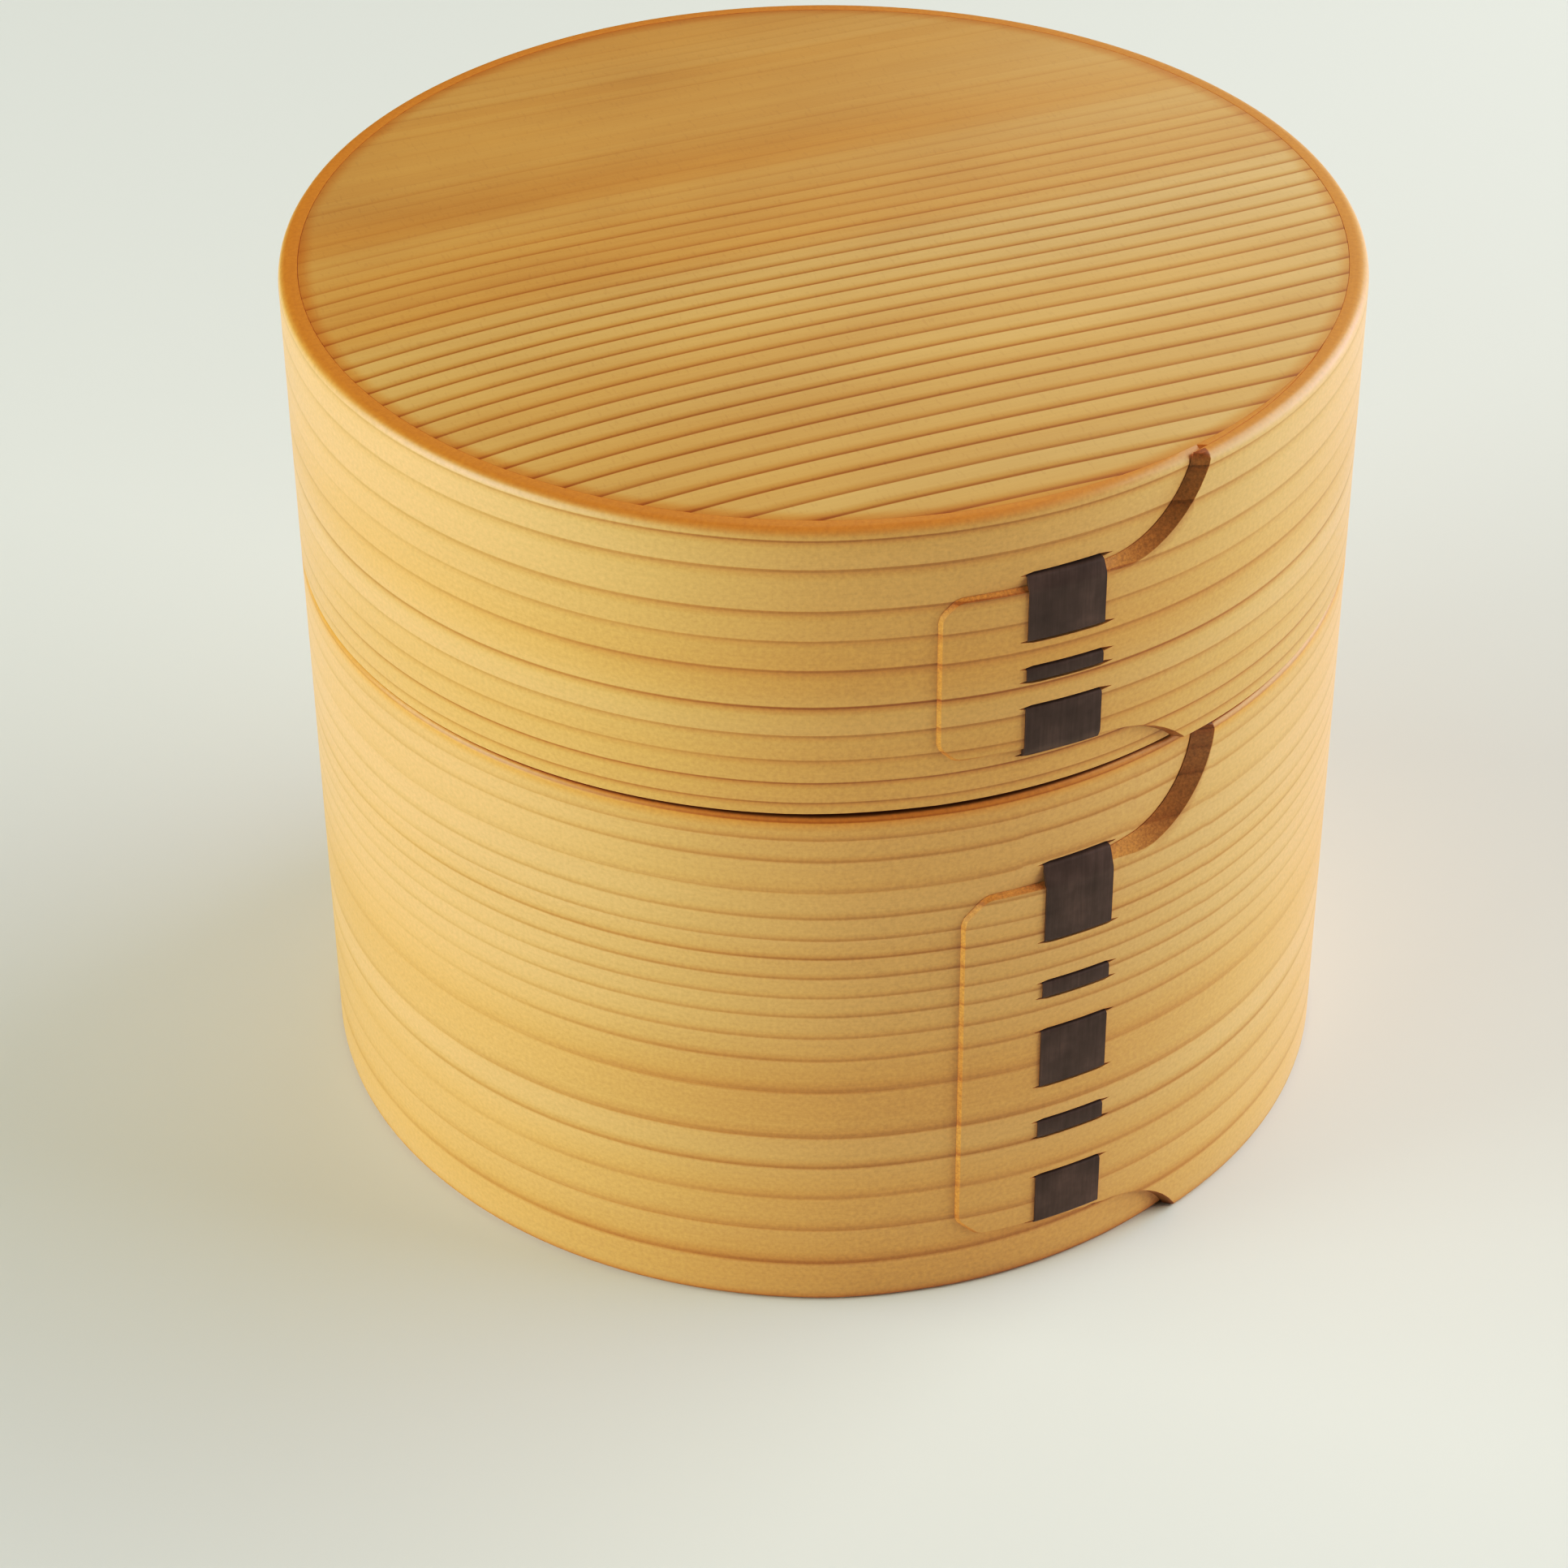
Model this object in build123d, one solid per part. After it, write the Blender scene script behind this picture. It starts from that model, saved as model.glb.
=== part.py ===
"""Round lidded box of bent cedar: two hoops lapped and laced with bark, two boards, an inner ring.

Millimetres, +Z up, origin at the centre of the foot. An azimuth is an angle round Z in degrees:
0 faces -Y, the front, and 90 faces +X.
"""
from build123d import *
from math import cos, radians, sin
import os

os.makedirs("parts", exist_ok=True)

# The whole box
outer_radius = 55.0
seam_height = 62.6  # the lid's rim sits on the body's rim here
overall_height = 94.5

# Walls. The body's is thicker by the lid's running clearance on the inner ring.
lid_wall = 2.6
running_clearance = 0.3
body_wall = lid_wall + running_clearance
lid_bore = outer_radius - lid_wall
body_bore = outer_radius - body_wall
lid_top_arris = 1.1  # rounding of the outer edges
lid_rim_arris = 0.25
box_rim_arris = 0.8
foot_arris = 0.7

# Boards, each in a rabbet that leaves a thin lip of wall round it
lip = 2.0
board_radius = outer_radius - lip
lid_board_thickness = 4.0
base_thickness = 4.5
board_arris = 0.2

# Inner ring, glued in the body's mouth and standing above its rim
collar_wall = 1.9
collar_bottom = 46.0
collar_top = 71.6
collar_arris = 0.6

# Lap of a hoop. Positions round the hoop are in degrees past the tip of its tongue.
under_start = -13.0  # the under layer leaves the outer circle here
lacing_start = 9.1
shoulder_start = 17.2
shoulder_end = 28.6
inner_end = 62.0  # the strip's inner end, on the inside of the hoop
inner_step = 0.4
inner_fade = 40.0  # the step at the inner end fades out over this angle

lid_lap = {
    "tip": 11.2,
    "foot": seam_height,
    "top": overall_height,
    "tongue": (68.0, 86.5),
    "shoulders": (67.2, 86.3),
    "cut_corner": 1.8,
    "under_shift": 1.6,  # how far the under layer's circle is off centre
    "bore": lid_bore,
}
body_lap = {
    "tip": 14.2,
    "foot": 0.0,
    "top": seam_height,
    "tongue": (7.0, 51.1),
    "shoulders": (6.5, 52.1),
    "cut_corner": 2.5,
    "under_shift": 1.9,
    "bore": body_bore,
}

# Bark lacing: the lowest and highest point of each stitch that shows, from the top down
bark = 0.45
slit_clearance = 0.05
tuck_depth = 1.7  # how deep the two ends of a lacing are tucked into the wall
lid_stitches = [(80.0, 87.4), (75.4, 77.3), (66.6, 72.8)]
lid_bark_width = 8.0
body_stitches = [(43.6, 53.05), (36.5, 38.8), (25.0, 32.6), (18.2, 20.7), (6.5, 13.3)]
body_bark_width = 7.5


def turned(*points):
    """A closed outline of (radius, height) points, turned about Z."""
    return revolve(Plane.XZ * make_face(Polyline(*points, close=True)), Axis.Z)


def wall_block(radii, heights, start, sweep):
    """The space between two radii and two heights, from azimuth start on through sweep degrees."""
    inner, outer = radii
    low, high = heights
    outline = make_face(Polyline((inner, low), (outer, low), (outer, high), (inner, high), close=True))
    return Rot(0, 0, start - 90) * revolve(Plane.XZ * outline, Axis.Z, sweep)


def shifted_cylinder(radius, shift, azimuth, foot, top):
    """An upright cylinder whose axis stands off centre towards an azimuth."""
    x = shift * sin(radians(azimuth))
    y = -shift * cos(radians(azimuth))
    middle = (foot + top) / 2
    return Pos(x, y, middle) * Cylinder(radius, top - foot)


def tongue_recess(lap):
    """Wood taken off the outside round the tongue, down to the layer that the tongue lies on."""
    tip = lap["tip"]
    middle = tip + shoulder_start / 2
    facing = (sin(radians(middle)), -cos(radians(middle)), 0)
    along = (cos(radians(middle)), sin(radians(middle)), 0)
    wall_plane = Plane(
        origin=(facing[0] * outer_radius, facing[1] * outer_radius, 0), x_dir=along, z_dir=facing
    )

    def across(past_tip):
        return outer_radius * sin(radians(past_tip - shoulder_start / 2))

    over = 1.0  # the outline runs past both rims
    left = across(under_start - 5)
    low, high = lap["tongue"]
    low_shoulder, high_shoulder = lap["shoulders"]
    corner = lap["cut_corner"]
    upper_root = (across(shoulder_start), high_shoulder)
    upper_rim = (across(shoulder_end), lap["top"])
    lower_root = (across(shoulder_start), low_shoulder)
    lower_rim = (across(shoulder_end), lap["foot"])
    above = [(left, lap["top"] + over), (upper_rim[0], lap["top"] + over), upper_rim]
    tongue = [
        upper_root,
        (across(lacing_start), high),
        (across(0) + corner, high),
        (across(0), high - corner),
        (across(0), low + corner),
        (across(0) + corner, low),
        (across(lacing_start), low),
        lower_root,
    ]
    below = [lower_rim, (lower_rim[0], lap["foot"] - over), (left, lap["foot"] - over), above[0]]
    outline = (
        Polyline(*above)
        + TangentArc(upper_root, upper_rim, tangent=(1, 0))
        + Polyline(*tongue)
        + TangentArc(lower_root, lower_rim, tangent=(1, 0))
        + Polyline(*below)
    )
    outside = make_face(outline)
    depth = 16.0  # reaches in past the wall at the far side of the outline
    prism = extrude(wall_plane * outside, amount=-depth) + extrude(wall_plane * outside, amount=over)
    under_layer = shifted_cylinder(
        outer_radius, lap["under_shift"], tip + under_start - 90, lap["foot"] - 2, lap["top"] + 2
    )
    return prism - under_layer


def inner_lap_recess(lap):
    """Step inside the hoop past the strip's inner end, fading back into the round of the wall."""
    start = lap["tip"] + inner_end
    fade = start + inner_fade
    shift = inner_step / sin(radians(inner_fade))
    heights = (lap["foot"] - 1, lap["top"] + 1)
    swollen = shifted_cylinder(lap["bore"], shift, fade - 90, *heights)
    return swollen & wall_block((lap["bore"] - 5, outer_radius - 0.5), heights, start, inner_fade)


def slits(lap, stitches, width):
    """The cuts that the bark passes through; the first and the last are blind."""
    sweep = (width + 2 * slit_clearance) / radians(1) / outer_radius
    start = lap["tip"] + lacing_start - slit_clearance / radians(1) / outer_radius
    blind = (outer_radius - tuck_depth - slit_clearance, outer_radius + 1)
    through = (lap["bore"] - 1, outer_radius + 1)
    cuts = []
    for number, (low, high) in enumerate(stitches):
        upper_radii = blind if number == 0 else through
        lower_radii = blind if number == len(stitches) - 1 else through
        upper = (high - bark - slit_clearance, high + slit_clearance)
        lower = (low - slit_clearance, low + bark + slit_clearance)
        cuts.append(wall_block(upper_radii, upper, start, sweep))
        cuts.append(wall_block(lower_radii, lower, start, sweep))
    return cuts


def lacing(lap, stitches, width):
    """One bark strip: stitches outside, legs through the slits, short runs inside."""
    sweep = width / radians(1) / outer_radius
    start = lap["tip"] + lacing_start
    outside = outer_radius + bark
    inside = lap["bore"] - bark
    tucked = outer_radius - tuck_depth
    strip = None
    for number, (low, high) in enumerate(stitches):
        upper_end = tucked if number == 0 else inside
        lower_end = tucked if number == len(stitches) - 1 else inside
        stitch = wall_block((outer_radius, outside), (low, high), start, sweep)
        stitch += wall_block((upper_end, outside), (high - bark, high), start, sweep)
        stitch += wall_block((lower_end, outside), (low, low + bark), start, sweep)
        strip = stitch if strip is None else strip + stitch
    for (low, _), (_, high) in zip(stitches, stitches[1:]):
        strip += wall_block((inside, lap["bore"]), (high - bark, low + bark), start, sweep)
    return strip


def circles_at(shape, radius, height):
    """The round edges of a turned shape that lie on one radius and one height."""
    return [
        edge
        for edge in shape.edges().filter_by(GeomType.CIRCLE)
        if abs(edge.radius - radius) < 1e-6 and abs(edge.center().Z - height) < 1e-6
    ]


def make_box_hoop():
    """Body wall with a rabbet at its foot for the base."""
    hoop = turned(
        (board_radius, 0),
        (outer_radius, 0),
        (outer_radius, seam_height),
        (body_bore, seam_height),
        (body_bore, base_thickness),
        (board_radius, base_thickness),
    )
    hoop = fillet(circles_at(hoop, outer_radius, 0), foot_arris)
    hoop = fillet(circles_at(hoop, outer_radius, seam_height), box_rim_arris)
    hoop -= tongue_recess(body_lap)
    hoop -= inner_lap_recess(dict(body_lap, foot=base_thickness, top=collar_bottom))
    for cut in slits(body_lap, body_stitches, body_bark_width):
        hoop -= cut
    return hoop


def make_lid_hoop():
    """Lid wall with a rabbet in its top for the board."""
    rabbet_floor = overall_height - lid_board_thickness
    hoop = turned(
        (lid_bore, seam_height),
        (outer_radius, seam_height),
        (outer_radius, overall_height),
        (board_radius, overall_height),
        (board_radius, rabbet_floor),
        (lid_bore, rabbet_floor),
    )
    hoop = fillet(circles_at(hoop, outer_radius, overall_height), lid_top_arris)
    hoop = fillet(circles_at(hoop, outer_radius, seam_height), lid_rim_arris)
    hoop = chamfer(circles_at(hoop, lid_bore, seam_height), collar_arris)
    hoop -= tongue_recess(lid_lap)
    hoop -= inner_lap_recess(dict(lid_lap, top=rabbet_floor - 1.5))
    for cut in slits(lid_lap, lid_stitches, lid_bark_width):
        hoop -= cut
    return hoop


def make_board(thickness, foot, outer_face):
    """Round board, its outer face's edge eased."""
    board = Pos(0, 0, foot + thickness / 2) * Cylinder(board_radius, thickness)
    return chamfer(circles_at(board, board_radius, outer_face), board_arris)


def make_collar():
    """Inner ring, its top edges rounded so that the lid finds its way on."""
    inner = body_bore - collar_wall
    ring = turned(
        (inner, collar_bottom), (body_bore, collar_bottom), (body_bore, collar_top), (inner, collar_top)
    )
    ring = fillet(circles_at(ring, body_bore, collar_top), collar_arris)
    return fillet(circles_at(ring, inner, collar_top), collar_arris)


nodes = {
    "box_hoop": make_box_hoop(),
    "box_base": make_board(base_thickness, 0, 0),
    "box_collar": make_collar(),
    "box_lacing": lacing(body_lap, body_stitches, body_bark_width),
    "lid_hoop": make_lid_hoop(),
    "lid_board": make_board(lid_board_thickness, overall_height - lid_board_thickness, overall_height),
    "lid_lacing": lacing(lid_lap, lid_stitches, lid_bark_width),
}
for name, shape in nodes.items():
    export_step(shape, f"parts/{name}.step")
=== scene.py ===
"""Looks of a round bentwood box: two laced cedar hoops, two boards, an inner ring and bark lacing.

Sizes in the sections are millimetres, and the finished meshes and the patterns are in metres. An azimuth
is an angle round Z in degrees: 0 faces -Y, the front, and 90 faces +X.
"""
from math import cos, pi, radians, sin, sqrt

import bmesh
import bpy
from mathutils import Matrix, Vector, geometry


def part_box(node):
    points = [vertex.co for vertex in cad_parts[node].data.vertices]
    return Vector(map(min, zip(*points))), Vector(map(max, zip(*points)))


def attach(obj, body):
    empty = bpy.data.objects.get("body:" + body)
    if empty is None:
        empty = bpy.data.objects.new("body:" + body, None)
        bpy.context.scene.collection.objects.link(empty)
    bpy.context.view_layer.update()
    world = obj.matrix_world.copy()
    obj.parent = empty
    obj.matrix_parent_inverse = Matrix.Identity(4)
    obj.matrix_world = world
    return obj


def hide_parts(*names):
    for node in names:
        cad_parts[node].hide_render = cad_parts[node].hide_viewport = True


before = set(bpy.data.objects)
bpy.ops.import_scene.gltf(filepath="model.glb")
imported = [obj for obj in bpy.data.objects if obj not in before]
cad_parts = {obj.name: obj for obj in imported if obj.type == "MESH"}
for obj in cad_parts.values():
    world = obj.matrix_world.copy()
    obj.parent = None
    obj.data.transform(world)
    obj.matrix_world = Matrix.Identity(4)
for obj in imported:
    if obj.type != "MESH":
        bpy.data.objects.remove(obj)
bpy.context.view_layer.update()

# ---- Box wall ---------------------------------------------------------------------------------------
# One planed cedar strip, 2.9 mm thick, steamed and bent into a hoop. Its outer end is a tongue with cut
# corners between two scooped shoulders, glued over the shaved inner end and laced there with bark.
mm = 0.001
outer_radius = round(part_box("box_hoop")[1].x / mm, 1)
seam_height = round(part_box("box_hoop")[1].z / mm, 1)
seam_slack = 0.12  # gap left under the lid all round
box_bore = round(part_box("box_collar")[1].x / mm, 1)
base_thickness = round(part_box("box_base")[1].z / mm, 1)
lip = 2.0  # wall left outside a board's rabbet
column = 1.5  # degrees of a hoop between two rows of points
lap_turn = 62.0  # degrees of a hoop that are two layers thick
glue_gap = 0.03
feather = 0.4  # thickness left at a strip's inner end
slit_reach = 1.5  # how far a slit runs past the bark on each side
narrow_cut = 0.38  # width of the slanted face round the tongue
near_cut = 33.0  # the strip's cut end lies within this length
tongue_rounding = 0.7  # at the tongue's four blunt corners
cut_gap = 0.5  # height of an opened slit
mesh_steps = (0.08, 0.3, 0.62, 1.0)  # rows of points over a rounded edge, as shares of its radius
rabbet_step = 0.03  # a rabbet's step is sloped over this height on each side
cut_share = 0.95  # share of the strip's thickness that the slanted face takes off at its outline
least_wood = 0.02  # thickness left where two faces would meet
least_stain = 0.3  # width of the browned stretch where the slanted face is narrowest
same = 1e-4  # places closer than this are one place
low_azimuth = 12.0  # the middle of the rim's low stretch

box_lap = {
    "tip": 14.2,  # azimuth of the tongue's tip
    "foot": 0.0,
    "dip": 0.36,  # how much lower the top edge was planed beside the lacing
    "top": seam_height - seam_slack,
    "radius": outer_radius,
    "wall": outer_radius - box_bore,
    "tongue": (6.75, 50.8),
    "shoulders": (5.9, 52.3),  # beside the lacing
    "scoops": ((28.4, 5.8, 11.5), (26.9, 54.0, 8.3)),  # corner and radius of the lower and the upper scoop
    "wide_cuts": (0.6, 2.0),  # width of the slanted face at the lower and the upper shoulder
    "cut_corner": 2.5,
    "lacing": (8.7, 7.5),  # start past the tip, and width
    "tip_thickness": 0.43,
    "rabbet": (-1.0, base_thickness),
    "arrises": (0.7, 0.8),  # rounding at the foot and at the top
    "slits": (52.85, 43.8, 38.6, 36.7, 32.4, 25.2, 20.5, 18.4, 13.1, 6.4),
}


def ease(share):
    """Goes smoothly from 0 to 1 as share does."""
    share = min(max(share, 0.0), 1.0)
    return share * share * (3 - 2 * share)


def girth(lap):
    """Length of the outer circle."""
    return 2 * pi * lap["radius"]


def lap_length(lap):
    """Length of the glued overlap."""
    return radians(lap_turn) * lap["radius"]


def glue_depth(lap, along):
    """Depth of the glued faces below the outer circle, along millimetres from the tongue's tip."""
    end = lap["wall"] - feather
    return lap["tip_thickness"] + (end - lap["tip_thickness"]) * along / lap_length(lap)


def outer_depth(lap, along, height):
    """Depth of the strip's outer face: it sinks under the tongue, and both edges are rounded."""
    past = along - girth(lap)
    run_out = 15.0  # the strip starts to sink this far before the tongue's tip
    sunk = glue_depth(lap, past) if past > 0 else lap["tip_thickness"] * ease(1 + past / run_out)
    hidden = past > lap["scoops"][1][0] + 1
    rounding = 0.0
    for distance, radius in zip((height - lap["foot"], lap["top"] - height), lap["arrises"]):
        radius = 0.05 if hidden else radius
        short = min(max(radius - distance, 0), radius)
        rounding = max(rounding, radius - sqrt(radius ** 2 - short ** 2))
    return sunk + rounding


def inner_depth(lap, along, height):
    """Depth of the strip's inner face: the glue face under the lap, then the wall, cut by the rabbet."""
    fade = 40.0
    if along < lap_length(lap):
        depth = glue_depth(lap, along) - glue_gap
    else:
        depth = lap["wall"] - feather * (1 - ease((along - lap_length(lap)) / fade))
    low, high = lap["rabbet"]
    return min(depth, lip) if low < height < high else depth


def cut(bm, point, normal, part=None, clear=False):
    """Cuts the sheet, or part of it, by a plane, and may clear the side that the normal points to."""
    part = part or bm.verts[:] + bm.edges[:] + bm.faces[:]
    bmesh.ops.bisect_plane(
        bm, geom=part, dist=1e-5, plane_co=point, plane_no=normal, clear_outer=clear
    )


def sawn_blank(lap):
    """The flat strip as a sheet: x runs along it from the tongue's tip, y is its height."""
    bm = bmesh.new()
    over = 20.0  # the sheet is cut to height after its scoops are rounded
    length = girth(lap) + lap_length(lap)
    low, high = lap["tongue"]
    low_shoulder, high_shoulder = lap["shoulders"]
    (low_side, low_corner, low_scoop), (high_side, high_corner, high_scoop) = lap["scoops"]
    corner = lap["cut_corner"]
    start, width = lap["lacing"]
    outline = [
        (high_side, high_corner),
        (start + width, high_shoulder),
        (start, high),
        (corner, high),
        (0, high - corner),
        (0, low + corner),
        (corner, low),
        (start, low),
        (start + width, low_shoulder),
        (low_side, low_corner),
        (low_side, lap["foot"] - over),
        (length, lap["foot"] - over),
        (length, lap["top"] + over),
        (high_side, lap["top"] + over),
    ]
    corners = [bm.verts.new((x, y, 0)) for x, y in outline]
    bm.faces.new(corners)
    rounds = {0: high_scoop, 9: low_scoop}  # by place in the outline
    rounds.update({index: tongue_rounding for index in (3, 4, 5, 6)})
    for index, radius in rounds.items():
        bmesh.ops.bevel(
            bm, geom=[corners[index]], offset=radius, offset_type="OFFSET", affect="VERTICES",
            segments=14 if radius > 5 else 3, profile=0.5, material=-1,
        )
    cut_edges = [
        tuple(v.co.copy() for v in edge.verts)
        for edge in bm.edges
        if max(v.co.x for v in edge.verts) < near_cut
    ]
    widths = [0, narrow_cut, *sorted(lap["wide_cuts"])]
    for narrower, wider in zip(widths, widths[1:]):
        sheet = max(bm.faces, key=lambda face: face.calc_area())
        bmesh.ops.inset_region(
            bm, faces=[sheet], thickness=wider - narrower, use_even_offset=True, use_boundary=True
        )
    cut(bm, (0, lap["top"], 0), (0, 1, 0), clear=True)
    cut(bm, (0, lap["foot"], 0), (0, -1, 0), clear=True)
    return bm, cut_edges


def cut_width(lap, point):
    """Width of the slanted face at a point near the strip's cut end."""
    upper = point.y > sum(lap["tongue"]) / 2
    return narrow_cut + (lap["wide_cuts"][upper] - narrow_cut) * ease((point.x - 11) / 11)


def edge_distance(point, cut_edges):
    """Distance on the flat strip from a point to the outline of its cut end."""
    flat = Vector((point.x, point.y, 0))
    nearest = 1e9
    for start, end in cut_edges:
        spot, share = geometry.intersect_point_line(flat, start, end)
        spot = start if share < 0 else end if share > 1 else spot
        nearest = min(nearest, (flat - spot).length)
    return nearest


def open_slit(bm, start, end, height, gap):
    """A knife slit across the sheet, opened in the middle and closed at both ends."""
    near = [f for f in bm.faces if start - 1 < f.calc_center_median().x < end + 1]
    near = [f for f in near if min(v.co.y for v in f.verts) < height < max(v.co.y for v in f.verts)]
    part = list({item for f in near for item in (f, *f.edges, *f.verts)})
    if not part:
        return
    cut(bm, (0, height, 0), (0, 1, 0), part)
    line = [
        edge
        for edge in bm.edges
        if all(abs(v.co.y - height) < same and start - same < v.co.x < end + same for v in edge.verts)
    ]
    if not line:
        return
    first = min(v.co.x for edge in line for v in edge.verts)
    last = max(v.co.x for edge in line for v in edge.verts)
    bmesh.ops.split_edges(bm, edges=line)
    for vert in bm.verts:
        if abs(vert.co.y - height) < same and first + same < vert.co.x < last - same:
            if not vert.link_faces:
                continue
            share = min(vert.co.x - first, last - vert.co.x) / slit_reach
            side = sum(f.calc_center_median().y for f in vert.link_faces) / len(vert.link_faces)
            vert.co.y += (1 if side > height else -1) * gap / 2 * ease(share)


def finished(bm, name, materials, sharp_angle=30):
    """A mesh object of the built piece, smooth but for edges that turn by more than an angle."""
    bmesh.ops.recalc_face_normals(bm, faces=bm.faces[:])
    for face in bm.faces:
        face.smooth = True
    for edge in bm.edges:
        if len(edge.link_faces) == 2 and edge.calc_face_angle(0) > radians(sharp_angle):
            edge.smooth = False
    mesh = bpy.data.meshes.new(name)
    bm.to_mesh(mesh)
    bm.free()
    for material in materials:
        mesh.materials.append(material)
    piece = bpy.data.objects.new(name, mesh)
    bpy.context.scene.collection.objects.link(piece)
    return piece


def bent_hoop(name, lap, materials):
    """Cuts, slits, shaves and rounds a strip, bends it into a hoop and laps its ends."""
    bm, cut_edges = sawn_blank(lap)
    step = radians(column) * lap["radius"]
    round_girth = girth(lap)
    length = round_girth + lap_length(lap)
    along = step
    while along < length - 0.1:
        cut(bm, (along, 0, 0), (1, 0, 0))
        if along < near_cut or round_girth - 4 < along < round_girth + near_cut:
            cut(bm, (along - step / 2, 0, 0), (1, 0, 0))
        along += step
    for edge, radius, sign in ((lap["foot"], lap["arrises"][0], 1), (lap["top"], lap["arrises"][1], -1)):
        for share in mesh_steps:
            cut(bm, (0, edge + sign * share * radius, 0), (0, 1, 0))
    low, high = lap["rabbet"]
    for height in (low, high):
        if lap["foot"] < height < lap["top"]:
            cut(bm, (0, height - rabbet_step, 0), (0, 1, 0))
            cut(bm, (0, height + rabbet_step, 0), (0, 1, 0))
    start, width = lap["lacing"]
    for height in lap["slits"]:
        for layer in (0, round_girth):
            from_x = start - slit_reach + layer
            open_slit(bm, from_x, from_x + width + 2 * slit_reach, height, cut_gap)

    # The inner end stops short beside the board
    deepest = lip - 0.05
    rabbet_end = round_girth + lap_length(lap) * (deepest - glue_depth(lap, 0)) / (
        glue_depth(lap, lap_length(lap)) - glue_depth(lap, 0)
    )
    gone = [
        f
        for f in bm.faces
        if f.calc_center_median().x > rabbet_end and low < f.calc_center_median().y < high
    ]
    bmesh.ops.delete(bm, geom=gone, context="FACES")

    blank = bm.verts.layers.float_vector.new("blank")
    outside = bm.verts.layers.int.new("outside")
    sawn = bm.verts.layers.float.new("sawn")
    made = bmesh.ops.extrude_face_region(bm, geom=bm.faces[:])
    for item in made["geom"]:
        if isinstance(item, bmesh.types.BMVert):
            item[outside] = 1
    slanted = set()
    for face in bm.faces:
        middle = face.calc_center_median()
        if all(v[outside] for v in face.verts) and middle.x < near_cut:
            if edge_distance(middle, cut_edges) < cut_width(lap, middle):
                slanted.add(face)
    for edge in bm.edges:
        if len(edge.link_faces) == 2 and len({face in slanted for face in edge.link_faces}) == 2:
            edge.smooth = False
    for vert in bm.verts:
        x, y = vert.co.x, vert.co.y
        vert[sawn] = -1.0
        if x < near_cut:
            from_cut = edge_distance(vert.co, cut_edges)
            if vert[outside] or from_cut < 0.01:
                vert[sawn] = max(cut_width(lap, vert.co), least_stain) - from_cut
        inner = inner_depth(lap, x, y)
        depth = inner
        if vert[outside]:
            depth = outer_depth(lap, x, y)
            if x < near_cut:
                slope = 1 - edge_distance(vert.co, cut_edges) / cut_width(lap, vert.co)
                depth = max(depth, inner * cut_share * slope)
            depth = min(depth, inner - least_wood)
        vert.co.z = -depth
    for vert in bm.verts:
        vert[blank] = vert.co * mm
        turn = radians(lap["tip"]) + vert.co.x / lap["radius"]
        radius = lap["radius"] + vert.co.z
        planed = (0.5 + 0.5 * cos(turn - radians(low_azimuth))) ** 8
        dip = lap["dip"] * planed * ease(1 - (lap["top"] - vert.co.y) / 4)
        vert.co = Vector((radius * sin(turn), -radius * cos(turn), vert.co.y - dip)) * mm
    return finished(bm, name, materials)


def linear(hex_colour):
    """An sRGB hex colour as linear RGBA."""
    channels = [int(hex_colour[i:i + 2], 16) / 255 for i in (1, 3, 5)]
    return [c / 12.92 if c <= 0.04045 else ((c + 0.055) / 1.055) ** 2.4 for c in channels] + [1.0]


def add_node(material, kind, settings=None, inputs=None):
    """Adds a node: settings are its properties, inputs are values or other nodes' outputs."""
    node = material.node_tree.nodes.new(kind)
    for key, value in (settings or {}).items():
        setattr(node, key, value)
    for key, value in (inputs or {}).items():
        if isinstance(value, bpy.types.NodeSocket):
            material.node_tree.links.new(value, node.inputs[key])
        else:
            node.inputs[key].default_value = value
    return node


mix_share, mix_under, mix_over = 0, 6, 7  # inputs of a Mix node for colours
mixed = 2  # its output


def new_material(name):
    """A node material with an empty tree."""
    material = bpy.data.materials.new(name)
    material.use_nodes = True
    material.node_tree.nodes.clear()
    return material


def set_ramp(node, stops):
    """Gives a colour ramp its stops: (position, hex colour)."""
    elements = node.color_ramp.elements
    while len(elements) < len(stops):
        elements.new(0.5)
    for element, (position, colour) in zip(elements, stops):
        element.position = position
        element.color = linear(colour)


def set_curve(node, points):
    """Gives a float curve its points, all within 0 to 1."""
    curve = node.mapping.curves[0]
    for x, y in points[1:-1]:
        curve.points.new(x, y)
    for point, (x, y) in zip(curve.points, points):
        point.location = (x, y)
    node.mapping.update()


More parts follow.
